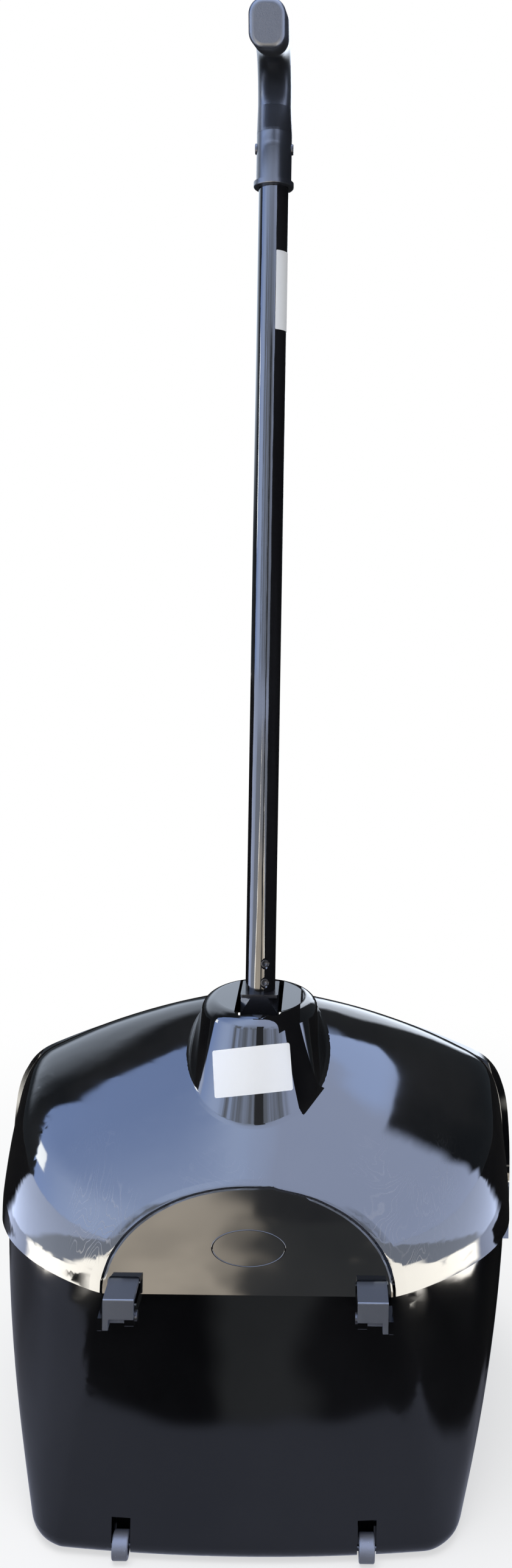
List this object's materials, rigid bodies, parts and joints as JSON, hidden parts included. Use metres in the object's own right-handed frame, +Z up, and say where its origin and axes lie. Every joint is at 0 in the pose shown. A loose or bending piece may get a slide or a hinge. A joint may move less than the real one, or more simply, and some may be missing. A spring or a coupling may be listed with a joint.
{
  "type": "upright dustpan",
  "caption": "Tall-handled upright dustpan: deep pan on rear rollers under a domed hood that hinges at the rear, with a tilting pole and a drooping grip.",
  "frame": {"origin": "centre of the bounding box on the floor, in the plane of symmetry of the pan", "axes": "+Z up along the pole, +Y forward to the open mouth, +X to the right of the person who holds it"},
  "size_m": [0.34, 0.3, 0.901],
  "materials": {
    "black_gloss": "polished moulded black plastic",
    "grey_satin": "satin dark grey plastic",
    "steel": "plain steel",
    "roller_grey": "dull grey plastic",
    "black_satin": "satin black plastic",
    "nylon": "plain nylon",
    "black_paint": "gloss black paint on steel tube",
    "black_screw": "black plated steel",
    "grey_grip": "matte dark grey plastic"
  },
  "bodies": {
    "pan": {"pan_shell": "black_gloss", "hinge_pin_left": "steel", "hinge_pin_right": "steel", "roller_axle_left": "steel", "roller_axle_right": "steel"},
    "hood": {"hood_shell": "black_gloss", "hinge_strap_left": "grey_satin", "hinge_strap_right": "grey_satin", "strap_screws": "steel", "pivot_pin": "steel", "pivot_clip": "steel", "pivot_washer_left": "nylon", "pivot_washer_right": "nylon"},
    "handle": {"pivot_block": "black_satin", "pivot_bush": "nylon", "pole_tube": "black_paint", "pole_screws": "black_screw", "grip": "grey_grip", "grip_rivet": "black_screw"},
    "roller_left": {"roller_left": "roller_grey"},
    "roller_right": {"roller_right": "roller_grey"}
  },
  "joints": [
    {"name": "hood_hinge", "type": "hinge", "parent": "pan", "child": "hood", "pos_m": [0, -0.1385, 0.1462], "axis": [1, 0, 0], "range_deg": [0, 70]},
    {"name": "handle_pivot", "type": "hinge", "parent": "hood", "child": "handle", "pos_m": [0, -0.05, 0.265], "axis": [1, 0, 0], "range_deg": [-30, 30]},
    {"name": "roller_left_spin", "type": "hinge", "parent": "pan", "child": "roller_left", "pos_m": [-0.07, -0.12615, 0.007], "axis": [1, 0, 0], "continuous": true},
    {"name": "roller_right_spin", "type": "hinge", "parent": "pan", "child": "roller_right", "pos_m": [0.07, -0.12615, 0.007], "axis": [1, 0, 0], "continuous": true}
  ]
}
